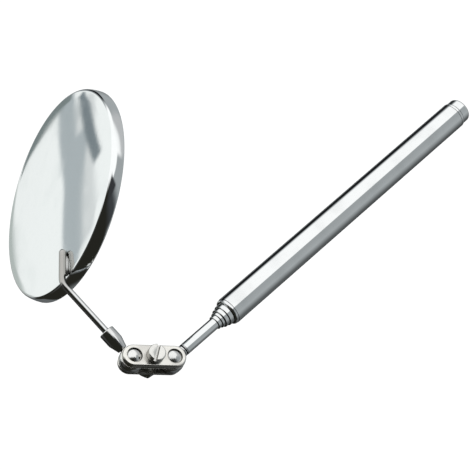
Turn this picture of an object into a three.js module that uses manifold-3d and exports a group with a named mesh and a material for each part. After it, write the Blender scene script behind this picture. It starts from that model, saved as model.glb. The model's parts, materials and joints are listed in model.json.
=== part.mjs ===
// Telescoping inspection mirror: a round mirror on a wire arm, a double ball joint held by one
// screw, and a mast of five tubes that slide out of a tubular handle.
// Millimetres, +Z up. The handle lies along X with its rear end at +X.
import * as THREE from "three";
import { mergeVertices } from "three/addons/utils/BufferGeometryUtils.js";
import Module from "manifold-3d";

// ---------------------------------------------------------------- driving dimensions

// Handle
const HANDLE_DIAMETER = 10;
const HANDLE_WALL = 0.4;
const HANDLE_LENGTH = 122.5;
const HANDLE_END_ROLL = 0.3; // the rear edge is rolled in by this much

// Nose collar, pressed in the front of the handle
const COLLAR_REACH = 1.27; // how far its ring stands out of the handle
const COLLAR_STEP = 0.15; // the ring's radius is this much under the handle's
const COLLAR_ROUNDING = 0.55;
const COLLAR_SPIGOT = 5;

// End cap, pressed in the rear of the handle
const CAP_REACH = 4;
const CAP_STEP = 0.36;
const CAP_ROUNDING = 1;
const CAP_SPIGOT = 6;

// Mast sections, the largest first: the radial room that each leaves for its friction sleeve in
// the tube around it, and how far its nose stands out of that tube's nose when the mast is shut
const SECTIONS = [
  { number: 5, sleeveRoom: 0.675, noseStep: 1.78 },
  { number: 4, sleeveRoom: 0.25, noseStep: 1.55 },
  { number: 3, sleeveRoom: 0.35, noseStep: 1.05 },
  { number: 2, sleeveRoom: 0.25, noseStep: 1.35 },
  { number: 1, sleeveRoom: 0.225, noseStep: 14.3 },
];
const SECTION_WALL = 0.2;
const LIP_LENGTH = 0.9; // the nose of each tube is swaged in over this length
const LIP_ROUNDING = 0.22; // or half of the nose's wall, where that is less
const REAR_ROOM = 4; // between the end cap's spigot and the first inner tube
const REAR_STEP = 1.5; // each inner tube ends this much before the one around it
const SLEEVE_LENGTH = 8;
const SLEEVE_SETBACK = 0.5; // from the tube's rear end
const SLEEVE_SLIT = 14; // degrees

// Ball joint
const BALL_DIAMETER = 7.4;
const BALL_HOLE_DIAMETER = 5.2; // the holes in the clamp plates that the balls sit in
const NECK_DIAMETER = 2;
const PLATE_SHEET = 1.5;
const PLATE_STAND = 0.3; // of the plates' faces over the balls' tops
const PLATE_GAP = 4; // between the rims of the two plates
const PLATE_SIDE_MARGIN = 0.25; // rim beyond the ball's widest circle
const PLATE_END_MARGIN = 0.2; // further margin at the two ends
const PLATE_ROUNDING = 0.5;
const HOLE_TO_HEAD_LAND = 1.33; // plate left between a ball hole and the screw's head

// Clamp screw and nut
const SCREW_DIAMETER = 3.5;
const HEAD_DIAMETER = 5.8;
const HEAD_HEIGHT = 2.8;
const HEAD_ROUNDING = 0.35;
const SLOT_WIDTH = 1;
const SLOT_DEPTH = 1.2;
const SLOT_ANGLE = 72; // degrees from the plates' length
const NUT_FLATS = 6.6;
const NUT_HEIGHT = 2.9;
const NUT_CHAMFER = 0.45;
const NUT_ANGLE = 4; // degrees
const SCREW_TIP = 0.4; // beyond the nut
const SCREW_CHAMFER = 0.35;

// Stud of the mast's ball
const STUD_NECK = 0.9; // between the ball and the collar
const STUD_COLLAR_LENGTH = 1.5;
const STUD_CHAMFER = 0.3;
const STUD_PLUG = 6; // inside the smallest tube

// Ferrule of the mirror's ball
const FERRULE_NECK = 0.8; // between the ball and the ferrule
const FERRULE_SMALL_DIAMETER = 3.4;
const FERRULE_DIAMETER = 5.4;
const FERRULE_TAPER = 3.5;
const FERRULE_BODY = 4.5;
const FERRULE_CHAMFER = 0.35;
const FERRULE_BORE_DEPTH = 6;

// Wire arm
const WIRE_DIAMETER = 2.3;
const ARM_REACH = 34.05; // from the ball's centre to the corner of the wire
const ARM_BEND = 42.6; // degrees
const ARM_BEND_RADIUS = 5.5;
const TAIL_LENGTH = 11.5; // from the corner to the middle of the round end
const TAIL_TURN = 11.6; // degrees off the mirror's radius
const ARM_RIM_OFFSET = 2.26; // the corner lies this much outside the mirror's rim
const TAIL_STAND = 0.3; // of the tail's end over the dome

// Mirror
const MIRROR_DIAMETER = 76.2;
const SHELL_WALL = 0.5;
const SHELL_DEPTH = 4.7; // of the rim
const SHELL_ROUNDING = 1.3;
const DOME_RISE = 1.8;
const LIP_WIDTH = 1.6; // of the rim's lip over the glass
const GLASS_THICKNESS = 2.4;
const GLASS_INSET = 0.35; // radial room between the glass and the shell

// Solder bead under the wire's tail
const BEAD_WIDTH = 3.4;
const BEAD_HEIGHT = 1.5; // over the dome, before the wire's groove is taken out

// Clearances
const SLIP = 0.05; // sliding and turning fits, per side
const PRESS_GAP = 0.04; // pressed and crimped fits, per side
const SEAT_GAP = 0.1; // round the balls
const FACE_GAP = 0.12; // between faces that rest on each other
const BEAD_GAP = 0.1;

// Pose in degrees: how the two ball joints are set when the tool lies on a table
const TURN_A = 30.02; // of the clamp about the mast
const TILT_A = 7;
const SWING_A = -39.7;
const SWING_B = -50.2;
const TILT_B = 1.3;
const TURN_B = 70.2; // of the arm about its ferrule

// Facets
const ROUND = 30; // sides of the tubes and of the turned pieces on the mast
const MIRROR_ROUND = 54;
const BALL_ROUND = 32;
const HOLE_ROUND = 32;
const BEAD_ROUND = 24;
const WIRE_ROUND = 12;
const WIRE_STEPS = 28;
const PLATE_ARC = 8;

// ---------------------------------------------------------------- worked-out sizes

const radians = THREE.MathUtils.degToRad;

const handleRadius = HANDLE_DIAMETER / 2;
const handleBore = handleRadius - HANDLE_WALL;
const ballRadius = BALL_DIAMETER / 2;
const holeRadius = BALL_HOLE_DIAMETER / 2;
const neckRadius = NECK_DIAMETER / 2;
const headRadius = HEAD_DIAMETER / 2;
const screwRadius = SCREW_DIAMETER / 2;
const wireRadius = WIRE_DIAMETER / 2;
const mirrorRadius = MIRROR_DIAMETER / 2;

const ballSpacing = 2 * (headRadius + HOLE_TO_HEAD_LAND + holeRadius);
const plateHalfWidth = ballRadius + PLATE_SIDE_MARGIN;
const plateFace = ballRadius + PLATE_STAND;
const plateInside = plateFace - PLATE_SHEET;
const collarStart = ballRadius + STUD_NECK;
const ferruleStart = ballRadius + FERRULE_NECK;
const ferruleEnd = ferruleStart + FERRULE_TAPER + FERRULE_BODY;

const sections = mastSections();
const smallest = sections[sections.length - 1];
const ballAX = smallest.noseX - STUD_COLLAR_LENGTH - collarStart;

// Distance of the tail's end from the mirror's middle, and the height of the tail's middle line
// over the edge of the dome
const tailRadius = mirrorRadius + ARM_RIM_OFFSET - TAIL_LENGTH * Math.cos(radians(TAIL_TURN));
const wireHeight = domeHeight(tailRadius) + wireRadius + TAIL_STAND;

// Radii and ends of each inner tube, each worked out from the tube around it.
function mastSections() {
  let bore = handleBore;
  let noseX = -COLLAR_REACH;
  let rearX = HANDLE_LENGTH - CAP_SPIGOT - REAR_ROOM;
  const list = [];
  for (const { number, sleeveRoom, noseStep } of SECTIONS) {
    const radius = bore - sleeveRoom;
    noseX -= noseStep;
    list.push({ number, radius, outerBore: bore, bore: radius - SECTION_WALL, noseX, rearX });
    bore = radius - SECTION_WALL;
    rearX -= REAR_STEP;
  }
  return list;
}

// Height of the shell's dome over its edge at a distance from the middle.
function domeHeight(distance) {
  const edge = mirrorRadius - SHELL_ROUNDING;
  return DOME_RISE * (1 - (distance / edge) ** 2);
}

// ---------------------------------------------------------------- materials

function metal(color, roughness) {
  return new THREE.MeshStandardMaterial({ color, roughness, metalness: 1 });
}

const chrome = metal(0xd9dcdc, 0.08);
const polishedChrome = metal(0xe2e4e3, 0.05);
const satinNickel = metal(0xc4c0b6, 0.32);
const ballSteel = metal(0xd6d6d4, 0.07);
const screwSteel = metal(0xc9c7c0, 0.25);
const springBronze = metal(0xb5894a, 0.35);
const solder = metal(0xb9bab8, 0.3);
const silvering = metal(0xf0f3f4, 0.02);
const padGrey = new THREE.MeshStandardMaterial({ color: 0x6f6c66, roughness: 0.9, metalness: 0 });

// ---------------------------------------------------------------- shape tools

const wasm = await Module();
wasm.setup();

function solidOf(geometry) {
  const bare = geometry.clone();
  bare.deleteAttribute("normal");
  bare.deleteAttribute("uv");
  const merged = mergeVertices(bare, 1e-4);
  return new wasm.Manifold(
    new wasm.Mesh({
      numProp: 3,
      vertProperties: merged.attributes.position.array,
      triVerts: new Uint32Array(merged.index.array),
    }),
  );
}

function geometryOf(solid) {
  const mesh = solid.getMesh();
  const geometry = new THREE.BufferGeometry();
  geometry.setAttribute("position", new THREE.BufferAttribute(mesh.vertProperties, 3));
  geometry.setIndex(new THREE.BufferAttribute(mesh.triVerts, 1));
  geometry.computeVertexNormals();
  return geometry;
}

// Points of a round corner, by its centre, radius and first and last angle in degrees.
function corner(x, y, radius, first, last, steps = 3) {
  const points = [];
  for (let i = 0; i <= steps; i++) {
    const angle = radians(first + ((last - first) * i) / steps);
    points.push([x + radius * Math.cos(angle), y + radius * Math.sin(angle)]);
  }
  return points;
}

// A body turned about Z from [radius, z] points that go up its outside.
function turnedZ(points, sides) {
  const profile = points.map(([radius, z]) => new THREE.Vector2(Math.max(radius, 0), z));
  return new THREE.LatheGeometry(profile, sides).rotateX(Math.PI / 2);
}

// The same about X, from [radius, x] points that go towards +X on the outside.
function turnedX(points, sides = ROUND) {
  const profile = points.map(([radius, x]) => new THREE.Vector2(Math.max(radius, 0), x));
  return new THREE.LatheGeometry(profile, sides).rotateZ(-Math.PI / 2);
}

function closed(points) {
  return [...points, points[0]];
}

// A bar along Z between two heights, with a number of sides.
function barZ(radius, low, high, sides) {
  const height = high - low;
  const bar = new THREE.CylinderGeometry(radius, radius, height, sides);
  return bar.rotateX(Math.PI / 2).translate(0, 0, low + height / 2);
}

function named(name, geometry, material) {
  const mesh = new THREE.Mesh(geometry, material);
  mesh.name = name;
  return mesh;
}

// ---------------------------------------------------------------- handle

function outerTube() {
  const rear = HANDLE_LENGTH;
  const profile = [
    [handleBore, 0],
    [handleRadius, 0],
    [handleRadius, rear - 2 * HANDLE_END_ROLL],
    [handleRadius - HANDLE_END_ROLL / 4, rear - HANDLE_END_ROLL],
    [handleRadius - HANDLE_END_ROLL, rear],
    [handleBore, rear],
  ];
  return named("outer_tube", turnedX(closed(profile)), chrome);
}

function noseCollar() {
  const ring = handleRadius - COLLAR_STEP;
  const spigot = handleBore - PRESS_GAP;
  const bore = sections[0].radius + SLIP;
  const profile = [
    [bore, -COLLAR_REACH],
    ...corner(ring - COLLAR_ROUNDING, COLLAR_ROUNDING - COLLAR_REACH, COLLAR_ROUNDING, -90, 0),
    [ring, -FACE_GAP],
    [spigot, -FACE_GAP],
    [spigot, COLLAR_SPIGOT],
    [bore, COLLAR_SPIGOT],
  ];
  return named("nose_collar", turnedX(closed(profile)), chrome);
}

function endCap() {
  const head = handleRadius - CAP_STEP;
  const spigot = handleBore - PRESS_GAP;
  const rear = HANDLE_LENGTH + CAP_REACH;
  const profile = [
    [0, HANDLE_LENGTH - CAP_SPIGOT],
    [spigot, HANDLE_LENGTH - CAP_SPIGOT],
    [spigot, HANDLE_LENGTH + FACE_GAP],
    [head, HANDLE_LENGTH + FACE_GAP],
    ...corner(head - CAP_ROUNDING, rear - CAP_ROUNDING, CAP_ROUNDING, 0, 90, 4),
    [0, rear],
  ];
  return named("end_cap", turnedX(profile), chrome);
}

// ---------------------------------------------------------------- mast

function mastTube(section, next) {
  const { radius, bore, noseX, rearX } = section;
  const mouth = next ? next.radius + SLIP : bore;
  const rounding = Math.min(LIP_ROUNDING, (radius - mouth) / 2);
  const profile = [
    [mouth, noseX],
    ...corner(radius - rounding, noseX + rounding, rounding, -90, 0),
    [radius, rearX],
    [bore, rearX],
  ];
  if (next) profile.push([bore, noseX + LIP_LENGTH], [mouth, noseX + LIP_LENGTH]);
  return named(`tube_${section.number}`, turnedX(closed(profile)), chrome);
}

// A slit bush round the rear end of a tube, sprung against the bore of the tube around it.
function frictionSleeve(section) {
  const inner = section.radius + PRESS_GAP;
  const outer = section.outerBore - SLIP;
  const first = radians(SLEEVE_SLIT / 2);
  const last = 2 * Math.PI - first;
  const shape = new THREE.Shape();
  shape.absarc(0, 0, outer, first, last, false);
  shape.absarc(0, 0, inner, last, first, true);
  shape.closePath();
  const bush = new THREE.ExtrudeGeometry(shape, {
    depth: SLEEVE_LENGTH,
    bevelEnabled: false,
    curveSegments: ROUND / 2,
  });
  const rearX = section.rearX - SLEEVE_SETBACK;
  bush.rotateY(Math.PI / 2).translate(rearX - SLEEVE_LENGTH, 0, 0);
  return named(`friction_sleeve_${section.number}`, bush, springBronze);
}

// ---------------------------------------------------------------- ball joint

function ball(name) {
  return named(name, new THREE.SphereGeometry(ballRadius, BALL_ROUND, BALL_ROUND / 2), ballSteel);
}

// The hollow end of a stud's neck, which sits round its ball: its points, from the middle out.
function neckSeat() {
  const radius = ballRadius + SEAT_GAP;
  const widest = THREE.MathUtils.radToDeg(Math.asin(neckRadius / radius));
  return corner(0, 0, radius, 90, 90 - widest, 2);
}

// Stud in the smallest tube: neck, collar and plug, from the ball's centre towards +X.
function ballStudA() {
  const collarRadius = smallest.radius;
  const plugRadius = smallest.bore - SLIP;
  const collarEnd = collarStart + STUD_COLLAR_LENGTH - FACE_GAP;
  const plugEnd = collarStart + STUD_COLLAR_LENGTH + STUD_PLUG;
  const profile = [
    ...neckSeat(),
    [neckRadius, collarStart],
    [collarRadius - STUD_CHAMFER, collarStart],
    [collarRadius, collarStart + STUD_CHAMFER],
    [collarRadius, collarEnd],
    [plugRadius, collarEnd],
    [plugRadius, plugEnd - STUD_CHAMFER],
    [plugRadius - STUD_CHAMFER, plugEnd],
    [0, plugEnd],
  ];
  return named("ball_stud_a", turnedX(profile), chrome);
}

// Ferrule of the wire: neck, taper and bored body, from the ball's centre towards -X.
function ballStudB() {
  const body = FERRULE_DIAMETER / 2;
  const bore = wireRadius + PRESS_GAP;
  const profile = [
    ...neckSeat(),
    [neckRadius, ferruleStart],
    [FERRULE_SMALL_DIAMETER / 2, ferruleStart],
    [body, ferruleStart + FERRULE_TAPER],
    [body, ferruleEnd - FERRULE_CHAMFER],
    [body - FERRULE_CHAMFER, ferruleEnd],
    [bore, ferruleEnd],
    [bore, ferruleEnd - FERRULE_BORE_DEPTH],
    [0, ferruleEnd - FERRULE_BORE_DEPTH],
  ];
  return named("ball_stud_b", turnedX(profile).rotateZ(Math.PI), chrome);
}

function obround(halfWidth) {
  const shape = new THREE.Shape();
  const right = PLATE_END_MARGIN;
  const left = -ballSpacing - PLATE_END_MARGIN;
  shape.absarc(right, 0, halfWidth, -Math.PI / 2, Math.PI / 2, false);
  shape.absarc(left, 0, halfWidth, Math.PI / 2, Math.PI * 1.5, false);
  shape.closePath();
  return shape;
}

// Pressed plate with its rim turned in, two seats for the balls and a hole for the screw.
// It lies over the balls, with ball A at the origin and ball B at -X.
function clampPlateGeometry() {
  const rim = PLATE_GAP / 2;
  const blank = new THREE.ExtrudeGeometry(obround(plateHalfWidth), {
    depth: plateFace - 2 * PLATE_ROUNDING,
    bevelThickness: PLATE_ROUNDING,
    bevelSize: PLATE_ROUNDING,
    bevelOffset: -PLATE_ROUNDING,
    bevelSegments: 3,
    curveSegments: PLATE_ARC,
  });
  blank.translate(0, 0, PLATE_ROUNDING);
  const side = 2 * (ballSpacing + 2 * plateHalfWidth);
  const below = new THREE.BoxGeometry(side, side, 2 * rim);
  const pocket = new THREE.ExtrudeGeometry(obround(plateHalfWidth - PLATE_SHEET), {
    depth: plateInside,
    bevelEnabled: false,
    curveSegments: PLATE_ARC,
  });
  const screwHole = barZ(screwRadius + SEAT_GAP, 0, 2 * plateFace, HOLE_ROUND / 2);
  let plate = solidOf(blank)
    .subtract(solidOf(below))
    .subtract(solidOf(pocket))
    .subtract(solidOf(screwHole.translate(-ballSpacing / 2, 0, 0)));
  for (const x of [0, -ballSpacing]) {
    const hole = barZ(holeRadius, 0, 2 * plateFace, HOLE_ROUND).translate(x, 0, 0);
    const seat = new THREE.SphereGeometry(ballRadius + SEAT_GAP, BALL_ROUND, BALL_ROUND / 2);
    plate = plate.subtract(solidOf(hole)).subtract(solidOf(seat.translate(x, 0, 0)));
  }
  return geometryOf(plate);
}

function clampScrew() {
  const under = plateFace + FACE_GAP;
  const top = under + HEAD_HEIGHT;
  const tip = -(plateFace + NUT_HEIGHT + SCREW_TIP);
  const turned = turnedZ(
    [
      [0, tip],
      [screwRadius - SCREW_CHAMFER, tip],
      [screwRadius, tip + SCREW_CHAMFER],
      [screwRadius, under],
      [headRadius, under],
      ...corner(headRadius - HEAD_ROUNDING, top - HEAD_ROUNDING, HEAD_ROUNDING, 0, 90),
      [0, top],
    ],
    HOLE_ROUND,
  );
  const slot = new THREE.BoxGeometry(2 * HEAD_DIAMETER, SLOT_WIDTH, 2 * SLOT_DEPTH);
  slot.translate(0, 0, top).rotateZ(radians(SLOT_ANGLE));
  const screw = named("clamp_screw", geometryOf(solidOf(turned).subtract(solidOf(slot))), screwSteel);
  screw.position.x = -ballSpacing / 2;
  return screw;
}

function clampNut() {
  const corners = NUT_FLATS / Math.sqrt(3);
  const top = -(plateFace + FACE_GAP);
  const bottom = top - NUT_HEIGHT;
  const hexagon = barZ(corners, bottom, top, 6);
  const chamfer = turnedZ(
    [
      [0, bottom],
      [corners - NUT_CHAMFER, bottom],
      [corners + SLIP, bottom + NUT_CHAMFER],
      [corners + SLIP, top],
      [0, top],
    ],
    HOLE_ROUND,
  );
  const bore = barZ(screwRadius + SLIP, 2 * bottom, 0, HOLE_ROUND);
  const solid = solidOf(hexagon).intersect(solidOf(chamfer)).subtract(solidOf(bore));
  const nut = named("clamp_nut", geometryOf(solid), screwSteel);
  nut.position.x = -ballSpacing / 2;
  nut.rotation.z = radians(NUT_ANGLE);
  return nut;
}

// ---------------------------------------------------------------- wire arm and mirror

// Middle line of the wire in the mirror's frame, which has the mirror's middle at the origin,
// the dome towards +Z and the arm's corner towards +X.
function wireLine() {
  const bend = radians(ARM_BEND);
  const turn = radians(TAIL_TURN);
  const cornerPoint = new THREE.Vector3(mirrorRadius + ARM_RIM_OFFSET, 0, wireHeight);
  const toBall = new THREE.Vector3(Math.cos(bend), 0, -Math.sin(bend));
  const toTail = new THREE.Vector3(-Math.cos(turn), Math.sin(turn), 0);
  const room = ARM_BEND_RADIUS * Math.tan(bend / 2);
  const inFerrule = ARM_REACH - ferruleEnd + FERRULE_BORE_DEPTH;
  const at = (direction, distance) => cornerPoint.clone().addScaledVector(direction, distance);
  const line = new THREE.CurvePath();
  line.add(new THREE.LineCurve3(at(toBall, inFerrule - FACE_GAP), at(toBall, room)));
  line.add(new THREE.QuadraticBezierCurve3(at(toBall, room), cornerPoint, at(toTail, room)));
  line.add(new THREE.LineCurve3(at(toTail, room), at(toTail, TAIL_LENGTH)));
  return line;
}

// The wire as a solid, grown by an amount, with its tail rounded.
function wireSolid(growth) {
  const line = wireLine();
  const radius = wireRadius + growth;
  const circle = new THREE.Shape().absarc(0, 0, radius, 0, 2 * Math.PI, false);
  const bar = new THREE.ExtrudeGeometry(circle, {
    steps: WIRE_STEPS,
    curveSegments: WIRE_ROUND / 2,
    extrudePath: line,
  });
  const end = line.getPoint(1);
  const cap = new THREE.SphereGeometry(radius, WIRE_ROUND, WIRE_ROUND / 2);
  return solidOf(bar).add(solidOf(cap.translate(end.x, end.y, end.z)));
}

// Outside of the pressed shell from the middle of the dome to the lip over the glass.
function shellProfile(inset) {
  const points = [];
  const edge = mirrorRadius - SHELL_ROUNDING;
  const steps = 4;
  const rounding = SHELL_ROUNDING - inset;
  points.push(...corner(edge, -SHELL_ROUNDING, rounding, 0, 90, 3));
  for (let i = steps - 1; i >= 0; i--) {
    const distance = (edge * i) / steps;
    points.push([distance, domeHeight(distance) - inset]);
  }
  return points;
}

function mirrorShell() {
  const lipTop = SHELL_WALL - SHELL_DEPTH;
  const profile = [
    ...shellProfile(SHELL_WALL).reverse(),
    [mirrorRadius - SHELL_WALL, lipTop],
    [mirrorRadius - LIP_WIDTH, lipTop],
    [mirrorRadius - LIP_WIDTH, -SHELL_DEPTH],
    ...corner(mirrorRadius - SHELL_WALL, SHELL_WALL - SHELL_DEPTH, SHELL_WALL, -90, 0, 2),
    ...shellProfile(0),
  ];
  return named("mirror_shell", turnedZ(profile, MIRROR_ROUND), polishedChrome);
}

function mirrorGlass() {
  const radius = mirrorRadius - SHELL_WALL - GLASS_INSET;
  const front = SHELL_WALL - SHELL_DEPTH + FACE_GAP;
  const glass = barZ(radius, front, front + GLASS_THICKNESS, MIRROR_ROUND);
  return named("mirror_glass", glass, silvering);
}

function backingPad() {
  const radius = mirrorRadius - SHELL_ROUNDING - GLASS_INSET;
  const front = SHELL_WALL - SHELL_DEPTH + 2 * FACE_GAP + GLASS_THICKNESS;
  const pad = barZ(radius, front, -SHELL_WALL - FACE_GAP, MIRROR_ROUND);
  return named("backing_pad", pad, padGrey);
}

// A low mound along the tail that the wire and the dome are taken out of.
function solderBead() {
  const turn = radians(TAIL_TURN);
  const length = TAIL_LENGTH - ARM_RIM_OFFSET - SHELL_ROUNDING;
  const middle = mirrorRadius - SHELL_ROUNDING - (length / 2) * Math.cos(turn);
  const mound = new THREE.SphereGeometry(1, BEAD_ROUND, BEAD_ROUND / 2);
  mound.scale(length / 2, BEAD_WIDTH / 2, BEAD_HEIGHT);
  mound.rotateZ(-turn);
  mound.translate(middle, (length / 2) * Math.sin(turn), domeHeight(middle));
  const under = turnedZ([[0, -SHELL_DEPTH], ...shellProfile(-BEAD_GAP)], MIRROR_ROUND);
  const bead = solidOf(mound).subtract(wireSolid(BEAD_GAP)).subtract(solidOf(under));
  return named("solder_bead", geometryOf(bead), solder);
}

// ---------------------------------------------------------------- assembly

function mirrorGroup() {
  const group = new THREE.Group();
  group.name = "mirror_frame";
  group.add(mirrorShell(), mirrorGlass(), backingPad(), solderBead());
  group.add(named("wire_arm", geometryOf(wireSolid(0)), chrome));
  // The arm's corner is at -X of ball B, and the mirror is turned by the bend about it.
  group.rotation.y = -radians(ARM_BEND);
  const cornerPoint = new THREE.Vector3(mirrorRadius + ARM_RIM_OFFSET, 0, wireHeight);
  group.position.set(-ARM_REACH, 0, 0).sub(cornerPoint.applyEuler(group.rotation));
  return group;
}

function armGroup() {
  const group = new THREE.Group();
  group.name = "arm_frame";
  group.position.x = -ballSpacing;
  group.rotation.set(radians(TURN_B), radians(TILT_B), radians(SWING_B), "ZYX");
  group.add(ball("ball_b"), ballStudB(), mirrorGroup());
  return group;
}

function clampGroup() {
  const group = new THREE.Group();
  group.name = "clamp_frame";
  group.position.x = ballAX;
  group.rotation.set(radians(TURN_A), radians(TILT_A), radians(SWING_A), "XYZ");
  const plate = clampPlateGeometry();
  group.add(named("clamp_plate_top", plate, satinNickel));
  group.add(named("clamp_plate_bottom", plate.clone().rotateX(Math.PI), satinNickel));
  group.add(clampScrew(), clampNut(), ball("ball_a"), armGroup());
  return group;
}

function mastGroup() {
  const group = new THREE.Group();
  group.name = "mast_frame";
  sections.forEach((section, i) => {
    group.add(mastTube(section, sections[i + 1]), frictionSleeve(section));
  });
  const stud = ballStudA();
  stud.position.x = ballAX;
  group.add(stud);
  return group;
}

const inspectionMirror = new THREE.Group();
inspectionMirror.add(outerTube(), noseCollar(), endCap(), mastGroup(), clampGroup());

// The tool lies on the plane z = 0, with the middle of its outline over the origin.
inspectionMirror.updateMatrixWorld(true);
const box = new THREE.Box3().setFromObject(inspectionMirror, true);
const middle = box.getCenter(new THREE.Vector3());
inspectionMirror.position.set(-middle.x, -middle.y, -box.min.z);

export default inspectionMirror;
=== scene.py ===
import json
import math

import bmesh
import bpy
from mathutils import Matrix, Vector


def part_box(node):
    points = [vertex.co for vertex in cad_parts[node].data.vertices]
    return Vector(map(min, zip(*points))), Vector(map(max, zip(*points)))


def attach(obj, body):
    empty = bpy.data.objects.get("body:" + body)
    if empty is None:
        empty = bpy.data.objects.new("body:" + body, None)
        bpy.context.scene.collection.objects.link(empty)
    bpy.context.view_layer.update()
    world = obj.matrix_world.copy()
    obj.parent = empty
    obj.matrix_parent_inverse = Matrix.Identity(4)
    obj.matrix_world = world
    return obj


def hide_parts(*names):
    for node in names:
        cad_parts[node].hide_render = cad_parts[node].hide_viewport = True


# A telescoping inspection mirror. Each turned, pressed or bent piece is modelled here in
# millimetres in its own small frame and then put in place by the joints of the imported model.

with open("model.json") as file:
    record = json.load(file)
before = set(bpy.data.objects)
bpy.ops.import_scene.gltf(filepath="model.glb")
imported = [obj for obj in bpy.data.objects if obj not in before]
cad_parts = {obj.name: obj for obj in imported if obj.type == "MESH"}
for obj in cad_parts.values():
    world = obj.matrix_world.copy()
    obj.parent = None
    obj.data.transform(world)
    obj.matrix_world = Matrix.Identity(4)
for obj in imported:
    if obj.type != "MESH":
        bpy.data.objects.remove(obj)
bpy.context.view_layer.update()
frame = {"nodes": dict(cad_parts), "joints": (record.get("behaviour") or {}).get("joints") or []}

MM = 0.001

# ------------------------------------------------------------------ sizes, in millimetres

HANDLE_RADIUS = 5
HANDLE_WALL = 0.4
END_ROLL = 0.3  # the handle's rear edge is rolled in by this much
COLLAR_STEP = 0.15  # the collar's ring is this much under the handle's radius
COLLAR_ROUNDING = 0.55
CAP_STEP = 0.36  # and the cap by this much
CAP_ROUNDING = 1
CAP_SEAM = 0.25  # open joint between the handle and its cap
GROOVE_BACK = 1.3  # a fine turned groove this far in front of the handle's rear edge
GROOVE_WIDTH = 0.2
GROOVE_DEPTH = 0.18
SEAM = 0.12  # open joint between other faces that meet

TUBE_RADII = {5: 3.925, 4: 3.475, 3: 2.925, 2: 2.475, 1: 2.05}
TUBE_WALL = 0.2
LIP_LENGTH = 0.9  # each nose is swaged in round the next tube over this length
LIP_ROUNDING = 0.3
MOUTH_GAP = 0.14  # between each nose and the tube inside it
SLIP = 0.05  # between a plug and its bore, and in other close fits

BALL_RADIUS = 4.25  # 0.55 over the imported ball's, so that each ball fills its holes
BALL_HOLE_RADIUS = 2.6
SEAT_GAP = 0.1
NECK_RADIUS = 1
STUD_COLLAR_START = 4.6  # from the ball's centre
STUD_COLLAR_LENGTH = 1.5
STUD_PLUG = 6
STUD_CHAMFER = 0.3
STUD_ROUNDING = 0.45  # of the bead that ends the collar
STUD_FLANGE = 0.2  # thickness of the collar's flange against the mast

PLATE_HALF_WIDTH = 3.95
PLATE_END_MARGIN = 0.2  # the round ends are centred this far outside the balls
PLATE_FACE = 4  # height of the flat face over the clamp's middle
PLATE_SHEET = 1.5
PLATE_RIM = 2  # and of the rim's edge
PLATE_ROUNDING = 0.5
PLATE_FLARE = 0.22  # the rim's edge is pressed out by this much
PLATE_BREAK = 0.2  # broken edges of the holes and the rim

SCREW_RADIUS = 1.75
HEAD_RADIUS = 2.9
HEAD_HEIGHT = 2.8
HEAD_ROUNDING = 0.35
SLOT_WIDTH = 1
SLOT_DEPTH = 1.2
SLOT_ANGLE = 72  # degrees from the line of the balls
SLOT_BREAK = 0.07
THREAD_PITCH = 0.79
THREAD_DEPTH = 0.22
NUT_FLATS = 6.6
NUT_HEIGHT = 2.9
NUT_CHAMFER = 0.45
NUT_ANGLE = 4  # degrees that it is turned off the line of the balls
SCREW_TIP = 0.4  # the screw stands out of its nut by this much, less a seam

FERRULE_START = 4.5  # from the ball's centre
FERRULE_SMALL_RADIUS = 1.7
FERRULE_RADIUS = 2.7
FERRULE_TAPER = 3.5
FERRULE_BODY = 4.5
FERRULE_CHAMFER = 0.35
FERRULE_BORE_DEPTH = 6

WIRE_RADIUS = 1.15
BEND_ROOM = 2.14  # from the corner to either end of the bend
TAIL_LENGTH = 11.5
TAIL_TURN = 11.6  # degrees off the mirror's radius
RIM_OFFSET = 2.26  # the corner lies this much outside the mirror's rim
TAIL_STAND = 0.3  # gap between the tail's end and the dome
TAIL_DARK_REACH = (5.5, 11)  # the wire is darker round its tail: wholly up to the first and not at all past the second

MIRROR_RADIUS = 38.1
SHELL_WALL = 0.5
SHELL_DEPTH = 4.7
SHELL_ROUNDING = 1.3
DOME_RISE = 1.8
LIP_WIDTH = 1.6
LIP_TOP = SHELL_WALL - SHELL_DEPTH
WALL_LEAN = 14  # degrees that the wall has curved in by at its top
GLASS_THICKNESS = 2.4
GLASS_INSET = 0.35  # gap between the glass and the shell's wall
BEAD_WIDTH = 3.4
BEAD_HEIGHT = 1.5

# Facets of the round pieces, and steps along the curves
TUBE_SIDES = 128
SMALL_SIDES = 96
MIRROR_SIDES = 256
WIRE_SIDES = 48
DOME_STEPS = 24
BEND_STEPS = 16
TAIL_END_STEPS = 12
SHARP_ANGLE = math.radians(32)  # an edge stays sharp past this
CLOSE = 0.01  # two places nearer than this count as one


# ------------------------------------------------------------------ places

def joint(name):
    return next(j for j in frame["joints"] if j["name"] == name)


def point(name):
    return Vector(joint(name)["pos_m"])


def direction(name):
    return Vector(joint(name)["axis"]).normalized()


def axes_at(origin, x, z):
    """A frame in metres at origin, with its X along x and its Z as near z as it can be."""
    x = x.normalized()
    y = z.cross(x).normalized()
    facing = Matrix((x, y, x.cross(y))).transposed().to_4x4()
    return Matrix.Translation(origin) @ facing


def span(node):
    """The lowest and highest X of a node of the mast, in millimetres."""
    low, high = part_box(node)
    return low.x / MM, high.x / MM


ball_a = point("ball_a_swing")
ball_b = point("ball_b_swing")
clamp_normal = direction("ball_a_swing")
clamp_axes = axes_at(ball_a, ball_a - ball_b, clamp_normal)
ball_spacing = (ball_a - ball_b).length / MM
mast_axes = Matrix.Translation((0, ball_a.y, ball_a.z))
stud_axes = Matrix.Translation(ball_a)


def face_normal(node):
    """The direction of a node's largest flat face, on the side that looks up."""
    largest = max(frame["nodes"][node].data.polygons, key=lambda face: face.area)
    return largest.normal if largest.normal.z > 0 else -largest.normal


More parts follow.
